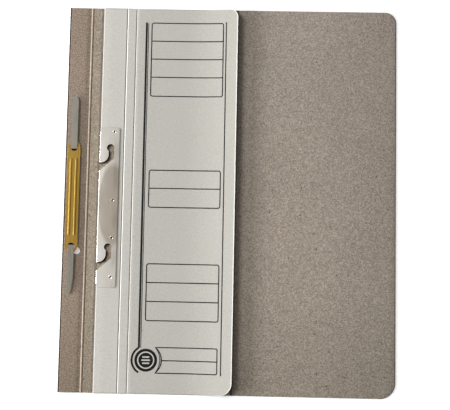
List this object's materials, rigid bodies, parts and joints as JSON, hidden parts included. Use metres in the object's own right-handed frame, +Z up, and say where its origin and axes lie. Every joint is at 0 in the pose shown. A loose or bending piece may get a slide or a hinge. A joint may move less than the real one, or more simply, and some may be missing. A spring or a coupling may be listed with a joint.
{
  "type": "half-cover card file folder",
  "caption": "Flat card file folder with a half-width front cover, a steel plate with slots for hanging on binder rings, and a two-prong paper fastener on a tab.",
  "frame": {"origin": "under the middle of the folder's outline, on the surface it lies on", "axes": "+Z up out of the front cover, +X from the fastener tab to the back cover's free edge, +Y along the sheets towards the top edge"},
  "size_m": [0.266, 0.31, 0.0046],
  "materials": {
    "brown_card": "uncoated recycled card, matt",
    "white_card": "pale grey-white card face, matt, printed in black",
    "hook_steel": "bright rolled steel",
    "prong_tin": "dull tinned steel",
    "bar_brass": "brassed sheet steel, satin"
  },
  "bodies": {
    "folder_back": {"back_cover": "brown_card", "front_cover_strip": "white_card", "hook_plate": "hook_steel", "prong_strip": "prong_tin", "compressor_bar": "bar_brass"},
    "spine_strip": {"front_spine_strip": "white_card"},
    "front_cover": {"front_cover_panel": "white_card"}
  },
  "joints": [
    {"name": "cover_hinge", "type": "hinge", "parent": "folder_back", "child": "spine_strip", "pos_m": [-0.0859, 0, 0.00077], "axis": [0, -1, 0], "range_deg": [0, 90]},
    {"name": "spine_hinge", "type": "hinge", "parent": "spine_strip", "child": "front_cover", "pos_m": [-0.07815, 0, 0.00127], "axis": [0, -1, 0], "range_deg": [0, 90]}
  ]
}
